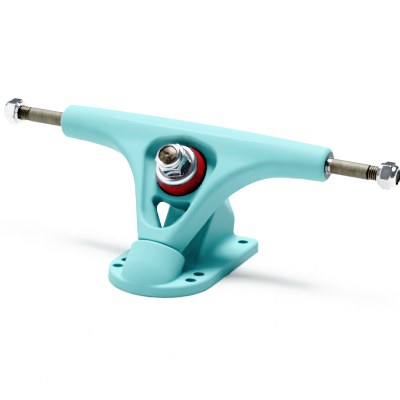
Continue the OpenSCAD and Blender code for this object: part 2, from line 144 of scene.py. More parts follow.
for name, facts in LAMPS.items():
    lamp = bpy.data.objects.new(name, bpy.data.lights.new(name, "SUN"))
    lamp.data.energy = facts["strength"]
    lamp.data.angle = math.radians(facts["width"])
    lamp.rotation_euler = facts["from"].to_track_quat("Z", "Y").to_euler()
    lamp.visible_glossy = facts["mirrored"]
    scene.collection.objects.link(lamp)

scene.view_settings.use_curve_mapping = True
tone = scene.view_settings.curve_mapping
for level_in, level_out in TONE:
    tone.curves[ALL_CHANNELS].points.new(level_in, level_out)
tone.update()

floor_mesh = bpy.data.meshes.new("floor")
floor_corners = [(-1, -1), (1, -1), (1, 1), (-1, 1)]
floor_points = [(FLOOR_HALF * x, FLOOR_HALF * y, -FLOOR_DROP) for x, y in floor_corners]
floor_mesh.from_pydata(floor_points, [], [(0, 1, 2, 3)])
floor = bpy.data.objects.new("floor", floor_mesh)
scene.collection.objects.link(floor)
print("lamps: %d, floor %.0f m wide" % (len(LAMPS), 2 * FLOOR_HALF))

# %% [markdown]
# Shader maths reads best as plain arithmetic. A `Shade` wraps one socket, and adding or multiplying it
# adds Math nodes. A `Finish` owns a node tree and has one method that makes any node: the settings first,
# then the values or links of its sockets.

# %% Shader helpers


class Shade:
    """A value that varies over a surface. Arithmetic on it adds Math nodes to its finish."""

    def __init__(self, finish, socket):
        self.finish = finish
        self.socket = socket

    def __add__(self, other):
        return self.finish.math("ADD", self, other)

    def __sub__(self, other):
        return self.finish.math("SUBTRACT", self, other)

    def __mul__(self, other):
        return self.finish.math("MULTIPLY", self, other)

    def __rsub__(self, other):
        return self.finish.math("SUBTRACT", other, self)

    def __abs__(self):
        return self.finish.math("ABSOLUTE", self)

    __radd__ = __add__
    __rmul__ = __mul__


class Finish:
    """A node tree with a main shader, and the means to add to it."""

    def __init__(self, owner, shader):
        owner.use_nodes = True
        self.owner = owner
        self.tree = owner.node_tree
        self.shader = self.tree.nodes[shader]

    def node(self, kind, settings, sockets, output=0):
        """Any node: its settings are set first, then its sockets get their values or links."""
        made = self.tree.nodes.new(kind)
        for name, value in settings.items():
            setattr(made, name, value)
        self.fill(made, sockets)
        return Shade(self, made.outputs[output])

    def fill(self, node, sockets):
        for name, value in sockets.items():
            if isinstance(value, Shade):
                self.tree.links.new(value.socket, node.inputs[name])
            else:
                node.inputs[name].default_value = value

    def surface(self, sockets):
        self.fill(self.shader, sockets)

    def math(self, operation, first, second=0.0):
        return self.node("ShaderNodeMath", {"operation": operation}, {0: first, 1: second})

    def mix(self, factor, low, high):
        """A colour between two colours."""
        return self.node("ShaderNodeMix", {"data_type": "RGBA"}, {0: factor, 6: low, 7: high}, 2)

    def ramp(self, value, start, end):
        """0 below start, 1 above end, and a smooth step between them."""
        settings = {"interpolation_type": "SMOOTHSTEP"}
        return self.node("ShaderNodeMapRange", settings, {0: value, 1: start, 2: end})

    def spot(self):
        return self.node("ShaderNodeTexCoord", {}, {}, "Object")

    def along(self, spot, axis):
        return self.node("ShaderNodeSeparateXYZ", {}, {0: spot}, axis)

    def noise(self, spot, grain_mm, detail=2.0):
        """Cloudy noise whose lumps are about this many millimetres wide."""
        sockets = {"Vector": spot, "Scale": 1 / (grain_mm * MM), "Detail": detail}
        return self.node("ShaderNodeTexNoise", {}, sockets)

    def stretch(self, spot, scale):
        return self.node("ShaderNodeMapping", {}, {"Vector": spot, "Scale": scale})

    def bump(self, height, strength, depth_mm):
        sockets = {"Height": height, "Strength": strength, "Distance": depth_mm * MM}
        return self.node("ShaderNodeBump", {}, sockets)


def new_finish(name, sockets):
    """A material whose constant values are set on the shader's own sockets."""
    finish = Finish(bpy.data.materials.new(name), "Principled BSDF")
    finish.surface(sockets)
    return finish


print("shader helpers ready")

# %% [markdown]
# The floor is a plain pale sheet. The room that the metal mirrors is dim and bluish, with a soft glow
# around the upper lamp and a white card at the front left, so that the chrome shows bright and dark
# facets. What the matt surfaces get from it is a soft fill, as from the walls of a studio, which is
# stronger on the left.

# %% Floor and room finishes
FLOOR_LIGHT, FLOOR_DARK = (0.58, 0.58, 0.58, 1), (0.57, 0.57, 0.57, 1)
CARD_FROM, ROOM_CARD = Vector((-0.80, -0.52, 0.38)), (0.95, 0.95, 0.95, 1)
ROOM_DIM, ROOM_GLOW = (0.080, 0.084, 0.092, 1), (0.52, 0.52, 0.52, 1)
GLOW_EDGE, GLOW_CORE = 0.86, 0.91
FILL_LEFT, FILL_RIGHT = (0.285, 0.293, 0.301, 1), (0.025, 0.026, 0.028, 1)
FILL_REACH = 0.9
FLOOR_GRAIN = 400

floor_finish = new_finish("floor_sheet", {"Roughness": 0.9, "Specular IOR Level": 0.0})
floor_cloud = floor_finish.noise(floor_finish.spot(), FLOOR_GRAIN)
floor_finish.surface({"Base Color": floor_finish.mix(floor_cloud, FLOOR_DARK, FLOOR_LIGHT)})
floor_mesh.materials.append(floor_finish.owner)

room = Finish(bpy.data.worlds.new("studio"), "Background")
scene.world = room.owner
outward = room.node("ShaderNodeTexCoord", {}, {}, "Generated")
soft_ray = room.node("ShaderNodeLightPath", {}, {}, "Is Diffuse Ray")
mirrored_room = ROOM_DIM
for panel, brightness in ((LAMPS["overhead_lamp"]["from"], ROOM_GLOW), (CARD_FROM, ROOM_CARD)):
    nearness = room.node("ShaderNodeVectorMath", {"operation": "DOT_PRODUCT"},
                         {0: outward, 1: panel.normalized()}, 1)
    mirrored_room = room.mix(room.ramp(nearness, GLOW_EDGE, GLOW_CORE), mirrored_room, brightness)
rightward = room.ramp(room.along(outward, "X"), -FILL_REACH, FILL_REACH)
fill = room.mix(rightward, FILL_LEFT, FILL_RIGHT)
room.surface({"Color": room.mix(soft_ray, mirrored_room, fill), "Strength": 1.0})
print("room lit")

# %% [markdown]
# The castings wear a satin powder coat. Up close such paint is a little cloudy and has a fine orange peel,
# so its colour gets a slow noise, its gloss a slow and a fine one, and its bump the fine one. The hanger's
# two end faces are cut after painting, so beyond a given x the same finish turns to bare aluminium with the
# rings of the cutter.

# %% Powder coat
MINT_DEEP, MINT_PALE = (0.104, 0.289, 0.302, 1), (0.117, 0.316, 0.329, 1)
ALUMINIUM = (0.029, 0.042, 0.040, 1)
CLOUD_MM, PEEL_MM, RING_MM = 14, 0.8, 0.35
SATIN, SATIN_CLOUD, SATIN_PEEL = 0.48, 0.10, 0.06
COAT_LEAST, COAT_CLOUD = 0.01, 0.02
PEEL_STRENGTH, PEEL_DEPTH = 0.35, 0.012
BARE_FROM, BARE_STEP = 74.93, 0.02
BARE_ROUGH, BARE_RINGS, BARE_METAL = 0.34, 0.05, 0.2


def powder_coat(name, bare_from=None):
    """Satin paint. Beyond bare_from, where that is given, it is cut back to bare metal."""
    coat = new_finish(name, {"IOR": 1.5, "Specular IOR Level": 0.08, "Coat Roughness": 0.36})
    spot = coat.spot()
    cloud = coat.noise(spot, CLOUD_MM, 3)
    peel = coat.noise(spot, PEEL_MM)
    colour = coat.mix(cloud, MINT_DEEP, MINT_PALE)
    roughness = SATIN + SATIN_CLOUD * cloud + SATIN_PEEL * peel
    relief = peel
    if bare_from is not None:
        out = abs(coat.along(spot, "X"))
        bare = coat.ramp(out, (bare_from - BARE_STEP) * MM, (bare_from + BARE_STEP) * MM)
        _, axle_y, axle_z = JOINTS["right_nut_spin"]["pos_m"]
        from_axle = coat.node("ShaderNodeMapping", {}, {
            "Vector": coat.stretch(spot, (0, 1, 1)), "Location": (0, -axle_y, -axle_z)})
        radius = coat.node("ShaderNodeVectorMath", {"operation": "LENGTH"}, {0: from_axle}, 1)
        rings = coat.math("SINE", radius * (2 * math.pi / (RING_MM * MM)))
        colour = coat.mix(bare, colour, ALUMINIUM)
        roughness = roughness * (1 - bare) + bare * (BARE_ROUGH + BARE_RINGS * rings)
        relief = relief * (1 - bare) + bare * (0.5 + 0.5 * rings)
        coat.surface({"Metallic": BARE_METAL * bare})
    coat.surface({
        "Base Color": colour,
        "Roughness": roughness,
        "Coat Weight": COAT_LEAST + COAT_CLOUD * cloud,
        "Normal": coat.bump(relief, PEEL_STRENGTH, PEEL_DEPTH),
    })
    return coat


baseplate_coat = powder_coat("baseplate_powder_coat")
hanger_coat = powder_coat("hanger_powder_coat", BARE_FROM)
print("powder coats made")

# %% [markdown]
# Metals and plastics. The axle and the kingpin are oiled, slightly browned steel, and a lathe has left
# fine rings on the axle. The nuts and washers are chromed, with a faint grain. The bushings are cast
# urethane, which lets a little light in, and the cup and the locknuts' rings are matt plastic.

# %% Metal and plastic finishes
STEEL_BROWN, STEEL_TAN = (0.100, 0.091, 0.073, 1), (0.134, 0.125, 0.105, 1)
STEEL_DARK, STEEL_BRIGHT = (0.038, 0.033, 0.026, 1), (0.34, 0.33, 0.34, 1)
BRONZE_DEEP, BRONZE_PALE = (0.048, 0.042, 0.034, 1), (0.130, 0.116, 0.094, 1)
CHROME_GREY, CHROME_PALE = (0.44, 0.45, 0.46, 1), (0.50, 0.505, 0.51, 1)
RED_DEEP, RED_PALE = (0.165, 0.010, 0.014, 1), (0.220, 0.014, 0.021, 1)
BLACK_DEEP, BLACK_PALE = (0.012, 0.012, 0.013, 1), (0.025, 0.025, 0.027, 1)
NYLON_DEEP, NYLON_PALE = (0.05, 0.053, 0.06, 1), (0.09, 0.095, 0.105, 1)
GRAIN_EDGES, GRAIN_DEPTH = (0.3, 0.7), 0.01
COLLAR_SPAN, HANGER_SHADE_SPAN, CUT_SPAN = (76.6 * MM, 77.1 * MM), (77 * MM, 82 * MM), (96.2 * MM, 96.7 * MM)
STAIN_MM, STAIN_EDGES, HANGER_SHADE_LEAST = 0.9, (0.35, 0.65), 0.35
TURNING_MM, TURNING_RELIEF = 0.12, 0.25
JOURNAL_ROUGH, STAIN_ROUGH, TURNING_ROUGH, COLLAR_GLOSS = 0.52, 0.12, 0.10, 0.36
METAL, FAINT = {"Metallic": 1.0}, 0.01


def cloudy_finish(name, deep, pale, grain_mm, roughness, sockets, relief=0.1):
    """A finish of two close colours, with gloss and bump that follow the same grain."""
    finish = new_finish(name, sockets)
    grain = finish.noise(finish.spot(), grain_mm, 4)
    low, high = roughness
    finish.surface({
        "Base Color": finish.mix(finish.ramp(grain, *GRAIN_EDGES), deep, pale),
        "Roughness": low + (high - low) * grain,
        "Normal": finish.bump(grain, relief, GRAIN_DEPTH),
    })
    return finish


def axle_steel():
    """Bright where the journal meets the hanger, browner just past it in painted shade, tan and stained
    along it, dark on the thread.
    """
    steel = new_finish("axle_steel", METAL)
    spot = steel.spot()
    out = abs(steel.along(spot, "X"))
    stain = steel.noise(steel.stretch(spot, (1, 0.25, 0.25)), STAIN_MM, 4)
    turning = steel.noise(steel.stretch(spot, (1, 0.02, 0.02)), TURNING_MM)
    collar = 1 - steel.ramp(out, *COLLAR_SPAN)
    # painted shade: just past the collar the journal is held browner, where the hanger shades it
    beyond_hanger_shade = HANGER_SHADE_LEAST + (1 - HANGER_SHADE_LEAST) * steel.ramp(out, *HANGER_SHADE_SPAN)
    cut = steel.ramp(out, *CUT_SPAN)
    colour = steel.mix(steel.ramp(stain, *STAIN_EDGES) * beyond_hanger_shade, STEEL_BROWN, STEEL_TAN)
    colour = steel.mix(cut, steel.mix(collar, colour, STEEL_BRIGHT), STEEL_DARK)
    roughness = JOURNAL_ROUGH + STAIN_ROUGH * stain + TURNING_ROUGH * turning - COLLAR_GLOSS * collar
    steel.surface({
        "Base Color": colour,
        "Roughness": roughness,
        "Normal": steel.bump(turning, TURNING_RELIEF, GRAIN_DEPTH),
    })
    return steel


journal_steel = axle_steel()
kingpin_steel = cloudy_finish("kingpin_steel", BRONZE_DEEP, BRONZE_PALE, 2.0, (0.42, 0.58), METAL)
nut_chrome = cloudy_finish("nut_chrome", CHROME_GREY, CHROME_PALE, 3.0, (0.10, 0.20), METAL, FAINT)
washer_chrome = cloudy_finish("washer_chrome", CHROME_GREY, CHROME_PALE, 4.0, (0.12, 0.22), METAL, FAINT)
thread_steel = cloudy_finish("thread_steel", STEEL_BROWN, STEEL_TAN, 0.7, (0.40, 0.55), METAL)
red_urethane = cloudy_finish("red_urethane", RED_DEEP, RED_PALE, 6.0, (0.28, 0.42),
                             {"Subsurface Weight": 0.05, "Subsurface Scale": 1.0 * MM})
cup_plastic = cloudy_finish("cup_plastic", BLACK_DEEP, BLACK_PALE, 1.0, (0.45, 0.65), {})
nylon = cloudy_finish("nylon", NYLON_DEEP, NYLON_PALE, 1.0, (0.4, 0.55), {})
print("materials:", len(bpy.data.materials))

# %% [markdown]
# Castings are all rounds and fillets, which are awkward to bevel on a mesh. So each casting is written as a
# field: a function that is negative inside the metal and grows with the distance outside it. Joining two
# fields with a round step gives a fillet, and meeting or cutting them gives a rounded edge.

# %% Field helpers


def round_union(a, b, r):
    """Both bodies, with a fillet where they meet."""
    return np.maximum(r, np.minimum(a, b)) - np.hypot(np.maximum(r - a, 0), np.maximum(r - b, 0))


def round_meet(a, b, r):
    """What two bodies share, with a rounded edge."""
    return np.minimum(-r, np.maximum(a, b)) + np.hypot(np.maximum(r + a, 0), np.maximum(r + b, 0))


def round_cut(a, b, r):
    """The first body without the second, with a rounded edge."""
    return round_meet(a, -b, r)


def soft_union(a, b, width):
    """A union that also swells a little where the two surfaces run close together."""
    near = np.maximum(width - np.abs(a - b), 0) / width
    return np.minimum(a, b) - near * near * width / 4


def hull_of_discs(x, y, discs):
    """Distance to the line pulled tight round discs (x, y, radius), listed counter-clockwise."""
    normals = []
    for (x0, y0, r0), (x1, y1, r1) in zip(discs, discs[1:] + discs[:1]):
        length = math.hypot(x1 - x0, y1 - y0)
        normals.append(math.atan2(y1 - y0, x1 - x0) - math.acos((r0 - r1) / length))
    distance = -np.inf
    for (cx, cy, r), before, after in zip(discs, normals[-1:] + normals[:-1], normals):
        dx, dy = x - cx, y - cy
        distance = np.maximum(distance, dx * math.cos(after) + dy * math.sin(after) - r)
        on_arc = (np.arctan2(dy, dx) - before) % (2 * math.pi) <= (after - before) % (2 * math.pi)
        distance = np.maximum(distance, np.where(on_arc, np.hypot(dx, dy) - r, -np.inf))
    return distance


print("field helpers ready")

# %% [markdown]
# A field becomes a mesh by surface nets: every grid cell that the surface crosses gets one point, and every
# grid edge that it crosses gets a quad between its four cells. The points are then eased apart and pulled
# back onto the surface, and the field's slope gives each point its exact normal, so flats stay flat.

# %% From a field to a mesh
EASE_ROUNDS = 4
SLOPE_REACH = 0.02


def slope(field, points):
    """The direction in which the field grows, and how fast, at each point."""
    rise = [field(*(points + step).T) - field(*(points - step).T) for step in np.eye(3) * SLOPE_REACH]
    return np.stack(rise, axis=1) / (2 * SLOPE_REACH)


def new_piece(name, points, faces, normals, finish, place):
    """A mesh object at the origin. Points are in millimetres along the rows of place."""
    mesh = bpy.data.meshes.new(name)
    mesh.from_pydata((points @ place * MM).tolist(), [], faces)
    mesh.shade_smooth()
    mesh.normals_split_custom_set_from_vertices((normals @ place).tolist())
    mesh.materials.append(finish.owner)
    piece = bpy.data.objects.new(name, mesh)
    scene.collection.objects.link(piece)
    mesh.calc_loop_triangles()
    print("%s: %d triangles" % (name, len(mesh.loop_triangles)))
    return piece


def carve(name, field, low, high, step, finish, place=UPRIGHT):
    """The surface of a field, found on a grid with this step between two corners."""
    low = np.array(low, float)
    counts = ((np.array(high) - low) / step).astype(int) + 2
    ticks = [low[axis] + step * np.arange(counts[axis]) for axis in range(3)]
    values = np.broadcast_to(field(ticks[0][:, None, None], ticks[1][:, None], ticks[2]), counts)
    quads, crossings = [], []
    for unit in np.eye(3, dtype=int):
        aside, above = np.roll(unit, 1), np.roll(unit, 2)
        near = values[tuple(slice(0, size - one) for size, one in zip(counts, unit))]
        far = values[tuple(slice(one, None) for one in unit)]
        start = np.argwhere((near < 0) != (far < 0))
        a, b = values[tuple(start.T)], values[tuple((start + unit).T)]
        ring = np.stack([start - aside - above, start - above, start, start - aside], axis=1)
        ring[a >= 0] = ring[a >= 0][:, ::-1]
        quads.append(np.ravel_multi_index(tuple(np.moveaxis(ring, 2, 0)), tuple(counts)))
        crossings.append(np.repeat((start + unit * (a / (a - b))[:, None])[:, None], 4, axis=1))
    _, quads = np.unique(np.concatenate(quads), return_inverse=True)
    quads = quads.reshape(-1, 4)
    crossings = np.concatenate(crossings).reshape(-1, 3)
    share = np.bincount(quads.ravel())[:, None]

    def mean(spots):
        sums = [np.bincount(quads.ravel(), column) for column in spots.T]
        return np.stack(sums, axis=1) / share

    points = low + step * mean(crossings)
    beside = np.roll(quads, 1, axis=1).ravel()
    for _ in range(EASE_ROUNDS):
        points += (mean(points[beside]) - points) / 2
        rise = slope(field, points)
        points -= rise * (field(*points.T) / (rise * rise).sum(axis=1))[:, None]
    normals = slope(field, points)
    normals /= np.linalg.norm(normals, axis=1)[:, None]
    return new_piece(name, points, quads.tolist(), normals, finish, place)


def dress(piece, body, slot, *nodes):
    """The piece moves with a body and stands for these nodes, which are hidden; the slot is not used."""
    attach(piece, body)
    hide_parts(*nodes)


print("carving ready")

# %% [markdown]
# The hanger is one casting. A bar grips the axle and thins towards its ends. A V-shaped yoke hangs from it,
# with two wide arcs where its legs run out into the arms, and a pivot nose below. The front has a deep
# recess with steep walls around the bushing. A window under the bushing's ring goes right through, and
# flares at the back.

# %% Hanger casting
HANGER_HALF, BAR_MID_R, BAR_END_R, END_ROUND = 75.0, 10.3, 8.8, 2.4
YOKE_LEAN = math.radians(22.3)
FOOT_HALF, FOOT_N, FOOT_ROUND = 9.2, -4.1, 0.8
ARM_FILLET, ARM_N = 44.0, 49.2
YOKE_FRONT, YOKE_BACK, YOKE_EDGE = 43.0, 23.0, 4.0
FRONT_CREASE, FRONT_FALL, CREASE_SOFT = 22.75, 0.097, 8.0
SETTLE_N, SETTLE_FALL, SETTLE_SOFT = 44.5, 0.10, 6.0
ARM_RUNOUT, BAR_SWELL = 12.0, 4.0
NOSE_R, NOSE_TIP, NOSE_ROUND, NOSE_ROOT = 6.5, -11.7, 0.8, KINGPIN_N / 4
RECESS_DISCS = [(0, 16.2, 12.8), (10.9, 41.6, 9.6), (0, 37.2, 16.6), (-10.9, 41.6, 9.6)]
RECESS_FLOOR, RECESS_LEAN, RECESS_RIM, RECESS_CORNER = 35.6, 0.20, 1.6, 3.6
POCKET_R, POCKET_FLOOR, POCKET_EDGE = 13.4, 33.75, 0.8
WINDOW_DISCS = [(0, 7.0, 2.3), (7.2, 19.8, 3.4), (-7.2, 19.8, 3.4)]
RING_R, WINDOW_CORNER, WINDOW_EDGE = 16.3, 2.8, 1.2
FLARE_R, FLARE_K = 4.5, 28.0
BACK_FLOOR, BACK_EDGE = 28.25, 1.0
RING_HOLE_R, AXLE_BORE_R = 8.0, 4.31
HANGER_GRID, HANGER_LOW, HANGER_HIGH = 0.53, (-77, -14, 19.5), (77, 69, 46.5)

fillet_n = ARM_N - ARM_FILLET
fillet_x = FOOT_HALF + (ARM_FILLET + (fillet_n - FOOT_N) * math.sin(YOKE_LEAN)) / math.cos(YOKE_LEAN)


def yoke_outline(side, n):
    """Straight leg, wide arc and arm, each in its own sector round the arc's middle."""
    leg = (side - FOOT_HALF) * math.cos(YOKE_LEAN) - (n - FOOT_N) * math.sin(YOKE_LEAN)
    arc = ARM_FILLET - np.hypot(side - fillet_x, n - fillet_n)
    bearing = np.arctan2(n - fillet_n, side - fillet_x) % (2 * math.pi)
    on_arm = np.where(bearing > math.pi * 1.5, ARM_N - n, arc)
    on_leg = (bearing > math.pi - YOKE_LEAN) & (bearing <= math.pi * 1.5)
    return np.where(on_leg, leg, np.where(bearing < math.pi / 2, ARM_N - n, on_arm))


def soft_bend(past, rise, soft):
    """Nothing before a line and a straight rise past it, with a soft bend between."""
    return rise * (past + np.hypot(past, soft)) / 2


def hanger_field(x, n, k):
    side = np.abs(x)
    from_axle = np.hypot(n - AXLE_N, k - AXLE_K)
    from_kingpin = np.hypot(x, n - KINGPIN_N)
    bar_r = BAR_MID_R - (BAR_MID_R - BAR_END_R) * (side / HANGER_HALF) ** 2
    bar = round_meet(from_axle - bar_r, side - HANGER_HALF, END_ROUND)
    fall = soft_bend(side - FRONT_CREASE, FRONT_FALL, CREASE_SOFT)
    fall = fall + soft_bend(n - SETTLE_N, SETTLE_FALL, SETTLE_SOFT)
    yoke = round_meet(yoke_outline(side, n), k - YOKE_FRONT + fall, YOKE_EDGE)
    yoke = round_meet(yoke, YOKE_BACK - k, YOKE_EDGE)
    yoke = np.maximum(round_meet(yoke, FOOT_N - n, FOOT_ROUND), n - AXLE_N)
    yoke = round_meet(yoke, side - fillet_x - ARM_RUNOUT / 2, ARM_RUNOUT)
    body = soft_union(bar, yoke, BAR_SWELL)
    nose = round_meet(np.hypot(x, k - PIVOT_K) - NOSE_R, NOSE_TIP - n, NOSE_ROUND)
    body = np.minimum(body, np.maximum(nose, n - NOSE_ROOT))
    wall = hull_of_discs(x, n, RECESS_DISCS) + RECESS_LEAN * (YOKE_FRONT - k)
    recess = round_meet(wall / math.hypot(1, RECESS_LEAN), RECESS_FLOOR - k, RECESS_CORNER)
    body = round_cut(body, recess, RECESS_RIM)
    pocket = np.maximum(from_kingpin - POCKET_R, POCKET_FLOOR - k)
    body = round_cut(body, pocket, POCKET_EDGE)
    behind = np.clip(FLARE_K - k, 0, FLARE_R)
    flare = FLARE_R - np.sqrt(FLARE_R ** 2 - behind ** 2)
    window = hull_of_discs(x, n, WINDOW_DISCS) - flare
    window = round_cut(window, from_kingpin - RING_R, WINDOW_CORNER)
    body = round_cut(body, window, WINDOW_EDGE)
    body = round_cut(body, np.maximum(from_kingpin - POCKET_R, k - BACK_FLOOR), BACK_EDGE)
    body = round_cut(body, from_kingpin - RING_HOLE_R, POCKET_EDGE)
    return np.maximum(body, AXLE_BORE_R - from_axle)


hanger = carve("hanger_casting", hanger_field, HANGER_LOW, HANGER_HIGH, HANGER_GRID, hanger_coat, TILTED)
dress(hanger, "hanger", "mint_paint", "hanger")

# %% [markdown]
# The baseplate is the other casting: a plate with a half-round front, a raked boss that holds the pivot cup
# and runs out into the plate's front edge, and a block for the kingpin with a round seat. Broad fillets
# join them. Six holes take the deck bolts, and a hexagon pocket underneath holds the kingpin's head.

# %% Baseplate casting
PLATE_HALF, PLATE_T, PLATE_FRONT, PLATE_REAR, PLATE_CORNER = 27.7, 6.0, 50.0, 41.0, 5.0
PLATE_DRAFT, PLATE_EDGE, DECK_EDGE = 0.03, 1.5, 0.3
BOSS_R, BOSS_TAPER, RIM_N, RIM_ROUND, BOSS_FILLET, BOSS_RUNOUT = 14.0, 0.03, -4.7, 1.3, 0.7, 4.5
BLOCK_HALF, BLOCK_FLARE, BLOCK_FRONT_Y, BLOCK_REAR_Y, BLOCK_K = 12.5, 1.5, -8.0, 37.0, 10.1
BLOCK_ROOF_N, BLOCK_EDGE, BLOCK_CORNER, BLOCK_FILLET = 38.7, 1.5, 3.0, 4.0
SEAT_R, SEAT_K, SEAT_BLEND, SEAT_REAR_EDGE = 12.0, 10.5, 4.0, 3.0
HOLE_R, HOLE_X, HOLE_ROWS = 2.7, 20.65, (-31.75, -22.23, 31.75)
CUP_R, CUP_END = 8.97, -13.9
PIN_HOLE_R, HEAD_FLATS, HEAD_TOP, HEAD_EDGE = 4.8, 14.7, -6.0, 0.3
PLATE_DISCS = [
    (0, PLATE_HALF - PLATE_FRONT, PLATE_HALF),
    (PLATE_HALF - PLATE_CORNER, PLATE_REAR - PLATE_CORNER, PLATE_CORNER),
    (PLATE_CORNER - PLATE_HALF, PLATE_REAR - PLATE_CORNER, PLATE_CORNER),
]
BASE_GRID, BASE_LOW, BASE_HIGH = 0.5, (-30, -52, -2), (30, 43, 48)


def hexagon(a, b, flats, corner):
    """Distance to a hexagon whose flats face +b and -b."""
    slant = math.sin(math.radians(60)) * a
    sides = [np.abs(b), np.abs(slant + b / 2), np.abs(slant - b / 2)]
    near = round_meet(sides[0] - flats / 2, sides[1] - flats / 2, corner)
    return round_meet(near, sides[2] - flats / 2, corner)


def block_field(x, y, n, k):
    """Upright walls under a round top, whose axis is the kingpin's."""
    half = BLOCK_HALF + BLOCK_FLARE * (y - BLOCK_FRONT_Y) / (BLOCK_REAR_Y - BLOCK_FRONT_Y)
    walls = round_meet(np.abs(x) - half, y - BLOCK_REAR_Y, BLOCK_CORNER)
    block = round_meet(round_meet(walls, n - BLOCK_ROOF_N, SEAT_BLEND), k - BLOCK_K, BLOCK_EDGE)
    seat = round_meet(np.hypot(x, n - KINGPIN_N) - SEAT_R, k - SEAT_K, DECK_EDGE)
    return round_union(block, round_meet(seat, y - BLOCK_REAR_Y, SEAT_REAR_EDGE), SEAT_BLEND)


def baseplate_field(x, y, z):
    n = y * PIVOT_AXIS[1] + z * PIVOT_AXIS[2]
    k = y * KINGPIN_AXIS[1] + z * KINGPIN_AXIS[2]
    from_pivot = np.hypot(x, k - PIVOT_K)
    from_kingpin = np.hypot(x, n - KINGPIN_N)
    outline = hull_of_discs(x, y, PLATE_DISCS) + PLATE_DRAFT * z
    plate = round_meet(outline, z - PLATE_T, PLATE_EDGE)
    boss = round_meet(from_pivot - BOSS_R + BOSS_TAPER * (n - RIM_N), n - RIM_N, RIM_ROUND)
    boss = round_meet(boss, outline, BOSS_RUNOUT)
    body = round_union(plate, block_field(x, y, n, k), BLOCK_FILLET)
    body = round_union(body, boss, BOSS_FILLET)
    body = np.maximum(body, outline)
    rim = np.maximum(RIM_N - n, from_pivot - BOSS_R)
    body = np.maximum(body, -rim)
    body = round_meet(body, -z, DECK_EDGE)
    for row in HOLE_ROWS:
        body = round_cut(body, np.hypot(np.abs(x) - HOLE_X, y - row) - HOLE_R, DECK_EDGE)
    body = np.maximum(body, -np.maximum(from_pivot - CUP_R, CUP_END - n))
    body = np.maximum(body, PIN_HOLE_R - from_kingpin)
    head_pocket = np.maximum(hexagon(x, n - KINGPIN_N, HEAD_FLATS, HEAD_EDGE), k - HEAD_TOP)
    return np.maximum(body, -head_pocket)


baseplate = carve("baseplate_casting", baseplate_field, BASE_LOW, BASE_HIGH, BASE_GRID, baseplate_coat)
dress(baseplate, "base", "mint_paint", "baseplate")

# %% [markdown]
# Locknuts are a hexagon with both faces turned off to a cone, and a thin collar rolled in over a nylon
# ring. The same field serves the kingpin nut and the axle nuts, each in the frame of its own pin.

# %% Locknuts
INSERT_WALL, NUT_LIP, LIP_REACH, BORE_GAP = 1.0, 0.5, 0.75, 0.06
NUT_EDGE, COLLAR_FOOT, CONE_INSET, CONE_STEEP = 0.22, 0.5, 0.1, 2
KINGPIN_R, KINGPIN_NUT = 4.765, (14.29, 7.6, 3.2, 0.7)
THREAD_R, AXLE_NUT = 3.65, (12.7, 5.4, 2.4, 1.05)
STACK_GAP = 0.05
KINGPIN_NUT_TURN = math.radians(17)
LEVEL_TURN, LEFT_EXTRA_TURN = math.acos(PIVOT_AXIS[2]), math.radians(10)
AXLE_NUT_TURNS = {"right": LEVEL_TURN, "left": -LEVEL_TURN - LEFT_EXTRA_TURN}
NUT_GRID, NUT_REACH, NUT_MARGIN = 0.17, 0.6, 0.5
KINGPIN_NUT_SEAT = (0, KINGPIN_N, WASHER_TOP + STACK_GAP)
ON_RIGHT = np.array([-KINGPIN_AXIS, PIVOT_AXIS, ACROSS])
ON_LEFT = np.array([KINGPIN_AXIS, PIVOT_AXIS, -ACROSS])
AXLE_ENDS = (("right", ON_RIGHT, -AXLE_K), ("left", ON_LEFT, AXLE_K))


def nut_field(pin_r, sizes):
    """A locknut that sits on w = 0. Its sizes are flats, hexagon height, collar height and wall."""
    flats, hex_h, collar_h, collar_wall = sizes
    bore_r = pin_r + BORE_GAP
    groove_r = bore_r + INSERT_WALL
    collar_r, top = groove_r + collar_wall, hex_h + collar_h
    roll = collar_wall + LIP_REACH

    def field(a, b, w):
        radius = np.hypot(a, b)
        cone = radius - flats / 2 + CONE_INSET - CONE_STEEP * np.minimum(w, hex_h - w)
        cone = cone / math.hypot(1, CONE_STEEP)
        body = round_meet(hexagon(a, b, flats, NUT_EDGE), cone, NUT_EDGE)
        body = round_meet(body, np.abs(w - hex_h / 2) - hex_h / 2, NUT_EDGE / 2)
        collar = np.maximum(round_meet(radius - collar_r, w - top, roll), hex_h / 2 - w)
        body = round_union(body, collar, COLLAR_FOOT)
        body = round_cut(body, np.maximum(radius - groove_r + LIP_REACH, hex_h - w), NUT_EDGE)
        groove = np.maximum(radius - groove_r, np.maximum(hex_h - w, w - top + NUT_LIP))
        return np.maximum(round_cut(body, radius - bore_r, NUT_EDGE), -groove)

    return field


def nut(name, pin_r, sizes, finish, place, origin, turned):
    """A nut seated at origin, in millimetres along the rows of place, and turned by an angle."""
    flats, hex_h, collar_h, _ = sizes
    reach, top = flats * NUT_REACH, hex_h + collar_h
    seated = nut_field(pin_r, sizes)

    def field(a, b, w):
        a, b = a - origin[0], b - origin[1]
        along, across = math.cos(turned), math.sin(turned)
        return seated(a * along + b * across, b * along - a * across, w - origin[2])

    low = (origin[0] - reach, origin[1] - reach, origin[2] - NUT_MARGIN)
    high = (origin[0] + reach, origin[1] + reach, origin[2] + top + NUT_MARGIN)
    return carve(name, field, low, high, NUT_GRID, finish, place)


kingpin_nut = nut("kingpin_locknut", KINGPIN_R, KINGPIN_NUT, nut_chrome, TILTED,
                  KINGPIN_NUT_SEAT, KINGPIN_NUT_TURN)
dress(kingpin_nut, "kingpin_nut", "nut_chrome", "kingpin_nut")
for side, place, along_k in AXLE_ENDS:
    piece = nut("axle_locknut_" + side, THREAD_R, AXLE_NUT, nut_chrome, place,
                (along_k, AXLE_N, NUT_SEAT), AXLE_NUT_TURNS[side])
    dress(piece, side + "_nut", "nut_chrome", "axle_nut_" + side)

# %% [markdown]
# Washers, bushings, cup and axle are turned or moulded round an axis. Their section is a list of
# corners, each with its own rounding, and the lathe turns it. Every corner's arc carries its exact normals,
# so the flats between the arcs shade flat without any split edges. A corner on the axis is a single point,
# which closes the end of a solid bar.

# %% Lathe
CORNER_STEPS = 6
TURN_STEPS = 96


